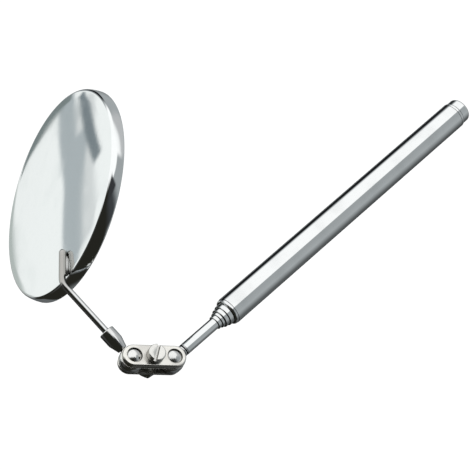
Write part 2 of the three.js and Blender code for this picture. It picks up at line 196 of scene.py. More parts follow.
def mirror_frame():
    """The mirror's frame: its middle at the edge of the dome, the dome towards +Z and the
    corner of the wire over +X."""
    normal = face_normal("mirror_glass")
    vertices = frame["nodes"]["mirror_glass"].data.vertices
    heights = [v.co.dot(normal) for v in vertices]
    middle = sum((v.co for v in vertices), Vector()) / len(vertices)
    middle += normal * (min(heights) - middle.dot(normal))
    edge = middle - normal * (LIP_TOP + SEAM) * MM
    outward = ball_b - edge
    outward -= normal * outward.dot(normal)
    return axes_at(edge, outward, normal)


mirror_axes = mirror_frame()


def dome_height(distance):
    """Height of the dome over its edge, at a distance from its middle."""
    edge = MIRROR_RADIUS - SHELL_ROUNDING
    return DOME_RISE * (1 - (distance / edge) ** 2)


# ------------------------------------------------------------------ mesh tools

def arc(x, y, radius, first, last, steps=6):
    """Points of a round corner by its centre, radius and first and last angle in degrees."""
    points = []
    for i in range(steps + 1):
        angle = math.radians(first + (last - first) * i / steps)
        points.append((x + radius * math.cos(angle), y + radius * math.sin(angle)))
    return points


def turned(points, sides, ring=False):
    """A body turned about Z from (radius, height) points. A ring's profile closes on itself."""
    bm = bmesh.new()
    verts = [bm.verts.new((radius, 0, height)) for radius, height in points]
    edges = [bm.edges.new(pair) for pair in zip(verts, verts[1:])]
    if ring:
        edges.append(bm.edges.new((verts[-1], verts[0])))
    bmesh.ops.spin(
        bm, geom=verts + edges, cent=(0, 0, 0), axis=(0, 0, 1),
        angle=math.tau, steps=sides, use_merge=True,
    )
    bmesh.ops.remove_doubles(bm, verts=bm.verts, dist=1e-5)
    bmesh.ops.recalc_face_normals(bm, faces=bm.faces)
    return bm


def along_x(bm):
    """Lays a body that was turned about Z along +X."""
    bmesh.ops.rotate(bm, verts=bm.verts, matrix=Matrix.Rotation(math.pi / 2, 3, "Y"))
    return bm


def pull(bm, edges, move):
    """Extrudes a loop of edges once and places its new vertices by move."""
    made = bmesh.ops.extrude_edge_only(bm, edges=edges)["geom"]
    for vert in (g for g in made if isinstance(g, bmesh.types.BMVert)):
        vert.co = move(vert.co)
    return [g for g in made if isinstance(g, bmesh.types.BMEdge) and g.is_boundary]


def round_the_line(distance, height, left, right):
    """A move to a distance from the line that joins left and right on X, and to a height."""
    def move(co):
        base = Vector((min(max(co.x, left), right), 0, 0))
        outward = Vector((co.x - base.x, co.y, 0)).normalized()
        return base + outward * distance + Vector((0, 0, height))
    return move


def piece(bm, name, axes, body, material, nodes):
    """Puts a millimetre mesh in place as a piece of the object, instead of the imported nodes."""
    bmesh.ops.transform(bm, matrix=axes @ Matrix.Scale(MM, 4), verts=bm.verts)
    for face in bm.faces:
        face.smooth = True
    for edge in bm.edges:
        edge.smooth = not edge.is_manifold or edge.calc_face_angle() < SHARP_ANGLE
    mesh = bpy.data.meshes.new(name)
    bm.to_mesh(mesh)
    bm.free()
    made = bpy.data.objects.new(name, mesh)
    bpy.context.scene.collection.objects.link(made)
    mesh.materials.append(material)
    normals = made.modifiers.new("weighted normals", "WEIGHTED_NORMAL")
    normals.keep_sharp = True
    normals.weight = 100
    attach(made, body)
    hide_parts(*nodes)


def cut(bm, cutter, operation="DIFFERENCE"):
    """The boolean of two closed meshes, as a new bmesh."""
    pair = []
    for source in (bm, cutter):
        mesh = bpy.data.meshes.new("tool")
        source.to_mesh(mesh)
        source.free()
        tool = bpy.data.objects.new("tool", mesh)
        bpy.context.scene.collection.objects.link(tool)
        pair.append(tool)
    boolean = pair[0].modifiers.new("cut", "BOOLEAN")
    boolean.operation = operation
    boolean.solver = "EXACT"
    boolean.object = pair[1]
    graph = bpy.context.evaluated_depsgraph_get()
    result = bmesh.new()
    result.from_object(pair[0], graph)
    for tool in pair:
        bpy.data.meshes.remove(tool.data)
    bmesh.ops.remove_doubles(result, verts=result.verts, dist=1e-4)
    return result


def break_edges(bm, width, chosen, segments=2):
    """Rounds the edges for which chosen(edge) is true."""
    edges = [e for e in bm.edges if e.is_manifold and chosen(e)]
    bmesh.ops.bevel(
        bm, geom=edges, offset=width, segments=segments, profile=0.5,
        affect="EDGES", material=-1, clamp_overlap=True,
    )
    return bm


# ------------------------------------------------------------------ finishes

def node_group(name, inputs, outputs):
    """An empty shader group with named sockets, and its input and output nodes."""
    group = bpy.data.node_groups.new(name, "ShaderNodeTree")
    for label, kind, value in inputs:
        socket = group.interface.new_socket(label, in_out="INPUT", socket_type=kind)
        if value is not None:
            socket.default_value = value
    for label, kind in outputs:
        group.interface.new_socket(label, in_out="OUTPUT", socket_type=kind)
    return group, group.nodes.new("NodeGroupInput"), group.nodes.new("NodeGroupOutput")


def add(tree, kind, **settings):
    node = tree.nodes.new(kind)
    for name, value in settings.items():
        setattr(node, name, value)
    return node


def join(tree, *pairs):
    for source, target in pairs:
        tree.links.new(source, target)


def noise(tree, vector, scale, detail):
    node = add(tree, "ShaderNodeTexNoise")
    node.inputs["Detail"].default_value = detail
    tree.links.new(vector, node.inputs["Vector"])
    if isinstance(scale, (int, float)):
        node.inputs["Scale"].default_value = scale
    else:
        tree.links.new(scale, node.inputs["Scale"])
    return node.outputs["Fac"]


def remap(tree, value, low, high, to_low=0.0, to_high=1.0):
    """Maps a value's stretch from low to high onto another stretch, and clamps it."""
    node = add(tree, "ShaderNodeMapRange", interpolation_type="SMOOTHSTEP")
    tree.links.new(value, node.inputs["Value"])
    for label, number in zip(("From Min", "From Max", "To Min", "To Max"),
                             (low, high, to_low, to_high)):
        if isinstance(number, (int, float)):
            node.inputs[label].default_value = number
        else:
            tree.links.new(number, node.inputs[label])
    return node.outputs["Result"]


def calculate(tree, operation, first, second):
    node = add(tree, "ShaderNodeMath", operation=operation)
    for socket, value in zip(node.inputs, (first, second)):
        if isinstance(value, (int, float)):
            socket.default_value = value
        else:
            tree.links.new(value, socket)
    return node.outputs["Value"]


def fill(node, **values):
    """Sets inputs of a node by their names, in which a space is written as an underscore."""
    for name, value in values.items():
        node.inputs[name.replace("_", " ")].default_value = value
    return node


def blend(tree, factor, first, second):
    """A colour that goes from the first, a socket or a colour, to the second, a colour."""
    node = add(tree, "ShaderNodeMix", data_type="RGBA")
    tree.links.new(factor, node.inputs["Factor"])
    if isinstance(first, tuple):
        node.inputs["A"].default_value = (*first, 1)
    else:
        tree.links.new(first, node.inputs["A"])
    node.inputs["B"].default_value = (*second, 1)
    return node.outputs["Result"]


def raised(tree, height, depth, shader):
    """Gives a shader the normals of a height, whose depth is in millimetres."""
    bump = fill(add(tree, "ShaderNodeBump"), Strength=1.0, Distance=depth * MM)
    join(tree, (height, bump.inputs["Height"]), (bump.outputs["Normal"], shader.inputs["Normal"]))


def new_material(name):
    """A material, its node tree and its shader."""
    material = bpy.data.materials.new(name)
    material.use_nodes = True
    tree = material.node_tree
    return material, tree, principled(tree)


def principled(tree):
    return next(n for n in tree.nodes if n.type == "BSDF_PRINCIPLED")


def object_place(tree):
    """The place on the piece, in metres."""
    return add(tree, "ShaderNodeTexCoord").outputs["Object"]


def handling_group():
    """Smears and haze left by handling: a roughness that drifts over the surface, and a mask
    for the duller patches."""
    group, inside, out = node_group(
        "handling",
        [("Vector", "NodeSocketVector", None), ("Size", "NodeSocketFloat", 120.0),
         ("Clean Roughness", "NodeSocketFloat", 0.05), ("Dull Roughness", "NodeSocketFloat", 0.12)],
        [("Roughness", "NodeSocketFloat"), ("Mask", "NodeSocketFloat")],
    )
    broad = noise(group, inside.outputs["Vector"], inside.outputs["Size"], detail=4.0)
    fine_size = calculate(group, "MULTIPLY", inside.outputs["Size"], 9.0)
    fine = noise(group, inside.outputs["Vector"], fine_size, detail=2.0)
    patches = remap(group, broad, 0.42, 0.68)
    specks = remap(group, fine, 0.45, 0.8)
    both = calculate(group, "MULTIPLY", specks, 0.35)
    mask = calculate(group, "MAXIMUM", patches, both)
    clean, dull = inside.outputs["Clean Roughness"], inside.outputs["Dull Roughness"]
    join(group, (remap(group, mask, 0.0, 1.0, clean, dull), out.inputs["Roughness"]),
         (mask, out.inputs["Mask"]))
    return group


def grain_group():
    """Polishing or rolling lines: noise drawn out along one axis of the piece."""
    group, inside, out = node_group(
        "grain",
        [("Vector", "NodeSocketVector", None), ("Lines", "NodeSocketFloat", 900.0),
         ("Waves", "NodeSocketFloat", 60.0), ("Wave Share", "NodeSocketFloat", 0.5)],
        [("Height", "NodeSocketFloat")],
    )
    lines = noise(group, inside.outputs["Vector"], inside.outputs["Lines"], detail=2.0)
    waves = noise(group, inside.outputs["Vector"], inside.outputs["Waves"], detail=1.0)
    mixed = add(group, "ShaderNodeMix", data_type="FLOAT")
    join(group, (inside.outputs["Wave Share"], mixed.inputs["Factor"]),
         (lines, mixed.inputs["A"]), (waves, mixed.inputs["B"]),
         (mixed.outputs["Result"], out.inputs["Height"]))
    return group


handling = handling_group()
grain = grain_group()
CREVICE_SHADE = (0.05, 0.048, 0.038)  # painted shade, near black, darkening the crevices
TAIL_DARK = (0.42, 0.41, 0.39)  # the darker colour of the wire round its tail


def painted_shade_mask(tree, reach, shade_openness):
    """A mask of painted shade over what is hidden within a reach in millimetres: all of it where
    the openness is at the first shade_openness value, none at the second."""
    openness = fill(add(tree, "ShaderNodeAmbientOcclusion", samples=8), Distance=reach * MM)
    return remap(tree, openness.outputs["AO"], *shade_openness, 1.0, 0.0)


def metal(name, colour, shade, clean, dull, stretch=1, lines=900.0, waves=60.0, wave_share=0.5,
          depth=0.002, patch=120.0, crevice=0.8, shade_openness=(0.35, 0.8), edge=0.45):
    """A plated metal: colour with a duller shade in its hazy patches, roughness between clean
    and dull, a grain stretched along X, and painted shade that darkens its crevices. Edge is how
    much of the light is left where the metal is seen edge-on. Depth and crevice are in millimetres."""
    material, tree, shader = new_material(name)
    place = object_place(tree)
    fill(shader, Metallic=1.0, Specular_Tint=(edge, edge, edge, 1))
    mapping = add(tree, "ShaderNodeMapping", vector_type="TEXTURE")
    fill(mapping, Scale=(stretch, 1, 1))
    marks = add(tree, "ShaderNodeGroup", node_tree=handling)
    fill(marks, Size=patch, Clean_Roughness=clean, Dull_Roughness=dull)
    rolled = add(tree, "ShaderNodeGroup", node_tree=grain)
    fill(rolled, Lines=lines, Waves=waves, Wave_Share=wave_share)
    plain = blend(tree, marks.outputs["Mask"], colour, shade)
    # painted shade: the colour goes to near black where the occlusion mask finds the surface hidden
    shaded = blend(tree, painted_shade_mask(tree, crevice, shade_openness), plain, CREVICE_SHADE)
    join(tree, (place, mapping.inputs["Vector"]), (place, marks.inputs["Vector"]),
         (mapping.outputs["Vector"], rolled.inputs["Vector"]),
         (marks.outputs["Roughness"], shader.inputs["Roughness"]),
         (shaded, shader.inputs["Base Color"]))
    raised(tree, rolled.outputs["Height"], depth, shader)
    return material


handle_chrome = metal("handle_chrome", (0.84, 0.85, 0.85), (0.78, 0.79, 0.79), 0.06, 0.1,
                      stretch=60, lines=3000.0, waves=260.0, depth=0.0006,
                      shade_openness=(0.2, 0.6))
mast_chrome = metal("mast_chrome", (0.83, 0.84, 0.84), (0.77, 0.78, 0.78), 0.06, 0.11,
                    stretch=20, lines=3000.0, waves=260.0, depth=0.0006)
stud_chrome = metal("stud_chrome", (0.78, 0.78, 0.78), (0.7, 0.7, 0.69), 0.1, 0.18,
                    lines=1500.0, depth=0.0015)
ball_steel = metal("ball_steel", (0.8, 0.8, 0.79), (0.72, 0.72, 0.71), 0.14, 0.22,
                   crevice=0.5, shade_openness=(0.2, 0.5))
satin_nickel = metal("satin_nickel", (0.82, 0.805, 0.76), (0.73, 0.71, 0.67), 0.22, 0.34,
                     lines=2600.0, wave_share=0.2, depth=0.004, crevice=2.5,
                     shade_openness=(0.25, 0.55))
screw_steel = metal("screw_steel", (0.77, 0.76, 0.73), (0.62, 0.61, 0.58), 0.2, 0.36,
                    lines=2200.0, wave_share=0.2, depth=0.006)
wire_chrome = metal("wire_chrome", (0.8, 0.81, 0.81), (0.74, 0.75, 0.75), 0.06, 0.12, depth=0.001)
solder = metal("solder", (0.7, 0.7, 0.69), (0.55, 0.55, 0.54), 0.2, 0.35, depth=0.01)
shell_chrome = metal("shell_chrome", (0.86, 0.875, 0.875), (0.82, 0.84, 0.84), 0.045, 0.08,
                     lines=700.0, waves=45.0, wave_share=0.9, depth=0.02, patch=60.0, edge=0.9)
silvering = metal("mirror_glass", (0.93, 0.95, 0.95), (0.91, 0.93, 0.93), 0.01, 0.03, depth=0.0)
bronze = metal("spring_bronze", (0.68, 0.5, 0.27), (0.55, 0.38, 0.2), 0.25, 0.4, depth=0.004)


def darken_round(material, centre, reach, colour):
    """Darkens the colour round a centre: wholly up to the first reach and not at all past the
    second.
    """
    tree = material.node_tree
    base = principled(tree).inputs["Base Color"]
    clean = base.links[0].from_socket
    distance = add(tree, "ShaderNodeVectorMath", operation="DISTANCE")
    distance.inputs[1].default_value = centre
    whole, gone = (length * MM for length in reach)
    mask = remap(tree, distance.outputs["Value"], whole, gone, 1.0, 0.0)
    join(tree, (object_place(tree), distance.inputs[0]), (blend(tree, mask, clean, colour), base))


def felt():
    material, tree, shader = new_material("pad")
    fill(shader, Roughness=0.95, Specular_IOR_Level=0.2)
    fibres = noise(tree, object_place(tree), 4000.0, detail=4.0)
    tint = blend(tree, fibres, (0.3, 0.29, 0.27), (0.5, 0.48, 0.45))
    tree.links.new(tint, shader.inputs["Base Color"])
    raised(tree, fibres, 0.05, shader)
    return material


pad_felt = felt()


# ------------------------------------------------------------------ handle

def handle_pieces():
    front, rear = span("outer_tube")
    bore = HANDLE_RADIUS - HANDLE_WALL
    groove = rear - GROOVE_BACK
    tube = turned([
        (bore, front), (HANDLE_RADIUS, front), (HANDLE_RADIUS, groove),
        (HANDLE_RADIUS - GROOVE_DEPTH, groove),
        (HANDLE_RADIUS - GROOVE_DEPTH, groove + GROOVE_WIDTH),
        (HANDLE_RADIUS, groove + GROOVE_WIDTH),
        *arc(HANDLE_RADIUS - END_ROLL, rear - END_ROLL, END_ROLL, 0, 90),
        (bore, rear),
    ], TUBE_SIDES, ring=True)
    piece(along_x(tube), "handle_tube", mast_axes, "handle", handle_chrome,
          ["outer_tube"])

    nose, collar_rear = span("nose_collar")
    ring = HANDLE_RADIUS - COLLAR_STEP
    spigot = bore - SLIP
    mouth = TUBE_RADII[5] + SLIP
    collar = turned([
        (mouth, nose),
        *arc(ring - COLLAR_ROUNDING, nose + COLLAR_ROUNDING, COLLAR_ROUNDING, -90, 0),
        (ring, front - SEAM), (spigot, front - SEAM), (spigot, collar_rear), (mouth, collar_rear),
    ], TUBE_SIDES, ring=True)
    piece(along_x(collar), "handle_collar", mast_axes, "handle", handle_chrome,
          ["nose_collar"])

    cap_front, end = span("end_cap")
    head = HANDLE_RADIUS - CAP_STEP
    cap = turned([
        (0, cap_front), (spigot, cap_front), (spigot, rear + CAP_SEAM), (head, rear + CAP_SEAM),
        *arc(head - CAP_ROUNDING, end - CAP_ROUNDING, CAP_ROUNDING, 0, 90, 8),
        (0, end),
    ], TUBE_SIDES)
    piece(along_x(cap), "handle_cap", mast_axes, "handle", handle_chrome,
          ["end_cap"])


# ------------------------------------------------------------------ mast

def mast_pieces():
    for number, radius in TUBE_RADII.items():
        nose, rear = span(f"tube_{number}")
        bore = radius - TUBE_WALL
        inner = TUBE_RADII.get(number - 1)
        mouth = inner + MOUTH_GAP if inner else bore
        rounding = min(LIP_ROUNDING, (radius - mouth) / 2)
        profile = [
            (mouth, nose),
            *arc(radius - rounding, nose + rounding, rounding, -90, 0),
            (radius, rear), (bore, rear),
        ]
        if inner:
            profile += [(bore, nose + LIP_LENGTH), (mouth, nose + LIP_LENGTH)]
        tube = along_x(turned(profile, TUBE_SIDES, ring=True))
        piece(tube, f"mast_tube_{number}", mast_axes, f"tube_{number}",
              mast_chrome, [f"tube_{number}"])


# ------------------------------------------------------------------ balls and studs

def neck_seat():
    """The hollow end of a neck, which sits round its ball, from the middle out."""
    radius = BALL_RADIUS + SEAT_GAP
    widest = math.degrees(math.asin(NECK_RADIUS / radius))
    return arc(0, 0, radius, 90, 90 - widest)


def ball_pieces():
    for name, centre in (("ball_a", ball_a), ("ball_b", ball_b)):
        bm = bmesh.new()
        bmesh.ops.create_uvsphere(bm, u_segments=SMALL_SIDES, v_segments=SMALL_SIDES // 2,
                                  radius=BALL_RADIUS)
        piece(bm, f"polished_{name}", Matrix.Translation(centre), name, ball_steel,
              [name])


def stud_pieces():
    collar = TUBE_RADII[1]
    plug = collar - TUBE_WALL - SLIP
    collar_end = STUD_COLLAR_START + STUD_COLLAR_LENGTH - SEAM
    plug_end = collar_end + SEAM + STUD_PLUG
    stud = turned([
        *neck_seat(),
        (NECK_RADIUS, STUD_COLLAR_START),
        *arc(collar - STUD_ROUNDING, STUD_COLLAR_START + STUD_ROUNDING, STUD_ROUNDING, -90, 60, 8),
        (collar - STUD_ROUNDING, collar_end - STUD_FLANGE), (collar, collar_end - STUD_FLANGE),
        (collar, collar_end), (plug, collar_end),
        (plug, plug_end - STUD_CHAMFER), (plug - STUD_CHAMFER, plug_end), (0, plug_end),
    ], SMALL_SIDES)
    piece(along_x(stud), "mast_stud", stud_axes, "stud_a", stud_chrome,
          ["ball_stud_a"])

    taper_end = FERRULE_START + FERRULE_TAPER
    end = taper_end + FERRULE_BODY
    bore = WIRE_RADIUS + SLIP
    ferrule = turned([
        *neck_seat(),
        (NECK_RADIUS, FERRULE_START), (FERRULE_SMALL_RADIUS, FERRULE_START),
        (FERRULE_RADIUS, taper_end),
        *arc(FERRULE_RADIUS - FERRULE_CHAMFER, end - FERRULE_CHAMFER, FERRULE_CHAMFER, 0, 90),
        (bore, end), (bore, end - FERRULE_BORE_DEPTH), (0, end - FERRULE_BORE_DEPTH),
    ], SMALL_SIDES)
    piece(along_x(ferrule), "wire_ferrule", ferrule_axes, "ferrule", stud_chrome,
          ["ball_stud_b"])


# ------------------------------------------------------------------ clamp

def obround(bm, left, right, distance, height):
    """A loop of edges at a distance round the line from left to right on X."""
    start = bm.verts.new((right, -distance, height))
    for centre, across in ((right, left - right), (left, 0)):
        turned_round = bmesh.ops.spin(
            bm, geom=[start], cent=(centre, 0, height), axis=(0, 0, 1),
            angle=math.pi, steps=SMALL_SIDES // 3,
        )
        start = turned_round["geom_last"][0]
        if across:
            start = bmesh.ops.extrude_vert_indiv(bm, verts=[start])["verts"][0]
            start.co.x += across
    bm.verts.ensure_lookup_table()
    bm.edges.new((start, bm.verts[0]))
    return list(bm.edges)


def pulled(bm, edges, left, right, profile):
    """Pulls a loop of edges through (distance, height) points round the line."""
    for distance, height in profile:
        edges = pull(bm, edges, round_the_line(distance, height, left, right))
    return edges


def hole(bm, x, radius, seat=0):
    """Cuts a round hole through a plate and, for a ball, its seat."""
    bore = bmesh.new()
    bmesh.ops.create_cone(
        bore, cap_ends=True, radius1=radius, radius2=radius, depth=2 * PLATE_FACE,
        segments=SMALL_SIDES, matrix=Matrix.Translation((x, 0, PLATE_FACE)),
    )
    bm = cut(bm, bore)
    if seat:
        ball = turned(arc(0, 0, seat, -90, 90, SMALL_SIDES // 4), SMALL_SIDES)
        bmesh.ops.translate(ball, vec=(x, 0, 0), verts=ball.verts)
        bm = cut(bm, ball)
    return bm


def clamp_plate(upside_down):
    """A pressed plate: flat face with rounded rim, a hole and a seat for each ball."""
    bm = bmesh.new()
    left, right = -ball_spacing - PLATE_END_MARGIN, PLATE_END_MARGIN
    wide, narrow = PLATE_HALF_WIDTH, PLATE_HALF_WIDTH - PLATE_SHEET
    shoulder = wide - PLATE_FLARE - PLATE_ROUNDING
    face = obround(bm, left, right, shoulder, PLATE_FACE)
    roof = pulled(bm, face, left, right, [
        *arc(shoulder, PLATE_FACE - PLATE_ROUNDING, PLATE_ROUNDING, 90, 0, 8)[1:],
        *arc(wide, PLATE_RIM + PLATE_BREAK + PLATE_FLARE, PLATE_FLARE, 180, 270, 4),
        *arc(wide - PLATE_BREAK, PLATE_RIM + PLATE_BREAK, PLATE_BREAK, 0, -90, 3)[1:],
        (narrow, PLATE_RIM), (narrow, PLATE_FACE - PLATE_SHEET),
    ])
    for edges in (face, roof):
        bmesh.ops.triangle_fill(bm, edges=edges, use_beauty=True)
    bmesh.ops.recalc_face_normals(bm, faces=bm.faces)
    holes = {0: BALL_HOLE_RADIUS, -ball_spacing: BALL_HOLE_RADIUS,
             -ball_spacing / 2: SCREW_RADIUS + SEAT_GAP}
    for x, radius in holes.items():
        seat = BALL_RADIUS + SEAT_GAP if radius == BALL_HOLE_RADIUS else 0
        bm = hole(bm, x, radius, seat)

    def of_hole(edge):
        ends = [v.co for v in edge.verts]
        level = all(abs(end.z - PLATE_FACE) < CLOSE for end in ends)
        return level and any(
            all(abs(math.hypot(end.x - x, end.y) - radius) < CLOSE for end in ends)
            for x, radius in holes.items())

    break_edges(bm, PLATE_BREAK, of_hole, 3)
    if upside_down:
        bmesh.ops.rotate(bm, verts=bm.verts, matrix=Matrix.Rotation(math.pi, 3, "X"))
    return bm


def thread(low, high):
    """Points of a rolled thread between two heights on the screw."""
    points = []
    turns = int((high - low) / THREAD_PITCH)
    for i in range(turns):
        start = low + i * THREAD_PITCH
        points += [(SCREW_RADIUS - THREAD_DEPTH, start), (SCREW_RADIUS, start + THREAD_PITCH / 2)]
    return points


def clamp_screw():
    under = PLATE_FACE + SEAM
    top = under + HEAD_HEIGHT
    tip = -(PLATE_FACE + NUT_HEIGHT + SCREW_TIP)
    bm = turned([
        (0, tip), (SCREW_RADIUS - THREAD_DEPTH - SLIP, tip),
        *thread(tip + THREAD_PITCH / 4, PLATE_RIM),
        (SCREW_RADIUS - THREAD_DEPTH, PLATE_RIM), (SCREW_RADIUS, PLATE_RIM + THREAD_DEPTH),
        (SCREW_RADIUS, under), (HEAD_RADIUS, under),
        *arc(HEAD_RADIUS - HEAD_ROUNDING, top - HEAD_ROUNDING, HEAD_ROUNDING, 0, 90),
        (0, top),
    ], SMALL_SIDES)
    slot = bmesh.new()
    bmesh.ops.create_cube(slot, matrix=Matrix.LocRotScale(
        Vector((0, 0, top)), Matrix.Rotation(math.radians(SLOT_ANGLE), 3, "Z"),
        Vector((3 * HEAD_RADIUS, SLOT_WIDTH, 2 * SLOT_DEPTH))))
    bm = cut(bm, slot)
    floor = top - SLOT_DEPTH
    across = Matrix.Rotation(math.radians(SLOT_ANGLE), 3, "Z") @ Vector((0, 1, 0))

    def of_slot(edge):
        middle = (edge.verts[0].co + edge.verts[1].co) / 2
        beside = abs(abs(middle.dot(across)) - SLOT_WIDTH / 2) < CLOSE
        return beside and middle.z > floor + CLOSE and edge.calc_face_angle() > SHARP_ANGLE

    break_edges(bm, SLOT_BREAK, of_slot)
    bmesh.ops.translate(bm, vec=(-ball_spacing / 2, 0, 0), verts=bm.verts)
    return bm


def clamp_nut():
    corners = NUT_FLATS / math.sqrt(3)
    top = -(PLATE_FACE + SEAM)
    bottom = top - NUT_HEIGHT
    hexagon = bmesh.new()
    bmesh.ops.create_cone(
        hexagon, cap_ends=True, segments=6, radius1=corners, radius2=corners, depth=NUT_HEIGHT,
        matrix=Matrix.Translation((0, 0, top - NUT_HEIGHT / 2)),
    )
    bore = SCREW_RADIUS + SLIP
    cone = turned([
        (bore, bottom), (corners - NUT_CHAMFER, bottom), (corners + SLIP, bottom + NUT_CHAMFER),
        (corners + SLIP, top + SLIP), (bore, top + SLIP),
    ], SMALL_SIDES, ring=True)
    bm = cut(hexagon, cone, "INTERSECT")
    bmesh.ops.rotate(bm, verts=bm.verts, matrix=Matrix.Rotation(math.radians(NUT_ANGLE), 3, "Z"))
    bmesh.ops.translate(bm, vec=(-ball_spacing / 2, 0, 0), verts=bm.verts)
    return bm


def clamp_pieces():
    for name, upside_down in (("top", False), ("bottom", True)):
        piece(clamp_plate(upside_down), f"pressed_plate_{name}", clamp_axes, "clamp",
              satin_nickel, [f"clamp_plate_{name}"])
    piece(clamp_screw(), "slotted_screw", clamp_axes, "screw", screw_steel,
          ["clamp_screw"])
    piece(clamp_nut(), "hexagon_nut", clamp_axes, "clamp", screw_steel,
          ["clamp_nut"])


# ------------------------------------------------------------------ wire arm

tail_radius = MIRROR_RADIUS + RIM_OFFSET - TAIL_LENGTH * math.cos(math.radians(TAIL_TURN))
wire_height = dome_height(tail_radius) + WIRE_RADIUS + TAIL_STAND
wire_corner = mirror_axes @ (Vector((MIRROR_RADIUS + RIM_OFFSET, 0, wire_height)) * MM)
arm_direction = (wire_corner - ball_b).normalized()
ferrule_axes = axes_at(ball_b, arm_direction, clamp_normal)


def wire():
    """The wire from inside its ferrule to its round tail, in the mirror's frame."""
    ball = (mirror_axes.inverted() @ ball_b) / MM
    corner = Vector((MIRROR_RADIUS + RIM_OFFSET, 0, wire_height))
    turn = math.radians(TAIL_TURN)
    inward = (corner - ball).normalized()
    tailward = Vector((-math.cos(turn), math.sin(turn), 0))
    start = ball + inward * (FERRULE_START + FERRULE_TAPER + FERRULE_BODY - FERRULE_BORE_DEPTH
                             + SEAM)
    bm = bmesh.new()
    bmesh.ops.create_circle(bm, cap_ends=True, radius=WIRE_RADIUS, segments=WIRE_SIDES)
    facing = inward.to_track_quat("Z", "X").to_matrix().to_4x4()
    bmesh.ops.transform(bm, matrix=Matrix.Translation(start) @ facing, verts=bm.verts)
    edges = list(bm.edges)
    straight = (corner - start).length - BEND_ROOM
    edges = pull(bm, edges, lambda co: co + inward * straight)

    bend_axis = inward.cross(tailward).normalized()
    bend = inward.angle(tailward)
    bend_radius = BEND_ROOM / math.tan(bend / 2)
    centre = corner - inward * BEND_ROOM + bend_axis.cross(inward) * bend_radius
    step = Matrix.Rotation(bend / BEND_STEPS, 3, bend_axis)
    for _ in range(BEND_STEPS):
        edges = pull(bm, edges, lambda co: centre + step @ (co - centre))

    edges = pull(bm, edges, lambda co: co + tailward * (TAIL_LENGTH - BEND_ROOM))
    end = corner + tailward * TAIL_LENGTH
    previous = 1.0
    for i in range(1, TAIL_END_STEPS):
        angle = math.pi / 2 * i / TAIL_END_STEPS
        width, reach = math.cos(angle), math.sin(angle) * WIRE_RADIUS

        def rounded(co, width=width, reach=reach, previous=previous):
            beside = co - end
            beside -= tailward * beside.dot(tailward)
            return end + beside * (width / previous) + tailward * reach

        edges = pull(bm, edges, rounded)
        previous = width
    bmesh.ops.contextual_create(bm, geom=edges)
    bmesh.ops.recalc_face_normals(bm, faces=bm.faces)
    return bm


def solder_bead():
    """A low mound along the tail, which the wire lies in."""
    turn = math.radians(TAIL_TURN)
    length = TAIL_LENGTH - RIM_OFFSET - SHELL_ROUNDING
    middle = MIRROR_RADIUS - SHELL_ROUNDING - (length / 2) * math.cos(turn)
    bm = bmesh.new()
    bmesh.ops.create_uvsphere(bm, u_segments=SMALL_SIDES, v_segments=SMALL_SIDES // 2, radius=1)
    bmesh.ops.transform(bm, verts=bm.verts, matrix=Matrix.LocRotScale(
        Vector((middle, (length / 2) * math.sin(turn), dome_height(middle))),
        Matrix.Rotation(-turn, 3, "Z"),
        Vector((length / 2, BEAD_WIDTH / 2, BEAD_HEIGHT))))
    return bm


# ------------------------------------------------------------------ mirror

def dome_points(edge, inset):
    """The dome from its edge to its middle."""
    distances = (edge * i / DOME_STEPS for i in reversed(range(DOME_STEPS)))
    return [(distance, dome_height(distance) - inset) for distance in distances]


def shell_inside():
    """Inside of the shell from the middle of the dome to the foot of the wall."""
    edge = MIRROR_RADIUS - SHELL_ROUNDING
    corner = arc(edge, -SHELL_ROUNDING, SHELL_ROUNDING - SHELL_WALL, 0, 90, 8)
    return [*reversed([*corner, *dome_points(edge, SHELL_WALL)]),
            (MIRROR_RADIUS - SHELL_WALL, LIP_TOP), (MIRROR_RADIUS - LIP_WIDTH, LIP_TOP)]


def shell_outside():
    """Outside of the shell from its lip, over the wall, to the middle of the dome."""
    tilt = math.radians(WALL_LEAN)
    radius = (SHELL_ROUNDING * (math.sin(tilt) - 1) - LIP_TOP) / math.sin(tilt)
    side = MIRROR_RADIUS - radius * (1 - math.cos(tilt))
    edge = side - SHELL_ROUNDING * math.cos(tilt)
    return [
        (MIRROR_RADIUS - LIP_WIDTH, -SHELL_DEPTH),
        *arc(MIRROR_RADIUS - SHELL_WALL, LIP_TOP, SHELL_WALL, -90, 0),
        *arc(MIRROR_RADIUS - radius, LIP_TOP, radius, 0, WALL_LEAN, 8)[1:-1],
        *arc(edge, -SHELL_ROUNDING, SHELL_ROUNDING, WALL_LEAN, 90, 8),
        *dome_points(edge, 0),
    ]


def mirror_pieces():
    shell = turned([*shell_inside(), *shell_outside()], MIRROR_SIDES)
    piece(shell, "pressed_shell", mirror_axes, "mirror", shell_chrome,
          ["mirror_shell"])

    radius = MIRROR_RADIUS - SHELL_WALL - GLASS_INSET
    front = LIP_TOP + SEAM
    back = front + GLASS_THICKNESS
    glass = turned([(0, front), (radius, front), (radius, back), (0, back)], MIRROR_SIDES)
    break_edges(glass, GLASS_INSET / 2, lambda edge: edge.calc_face_angle() > SHARP_ANGLE)
    piece(glass, "round_glass", mirror_axes, "mirror", silvering,
          ["mirror_glass"])

    tail = mirror_axes @ (Vector((MIRROR_RADIUS + RIM_OFFSET - TAIL_LENGTH / 2, 0, 0)) * MM)
    # the wire's colour is darkened round its tail
    darken_round(wire_chrome, tail, TAIL_DARK_REACH, TAIL_DARK)
    piece(wire(), "bent_wire", mirror_axes, "mirror", wire_chrome, ["wire_arm"])
    piece(solder_bead(), "braze_bead", mirror_axes, "mirror", solder, ["solder_bead"])


# ------------------------------------------------------------------ nodes that stay

def kept_nodes():
    kept = {f"friction_sleeve_{n}": (bronze, "spring_bronze") for n in TUBE_RADII}
    kept["backing_pad"] = (pad_felt, "pad")
    for name, (material, slot) in kept.items():
        node = frame["nodes"][name]
        node.data.materials.clear()
        node.data.materials.append(material)


# ------------------------------------------------------------------ studio

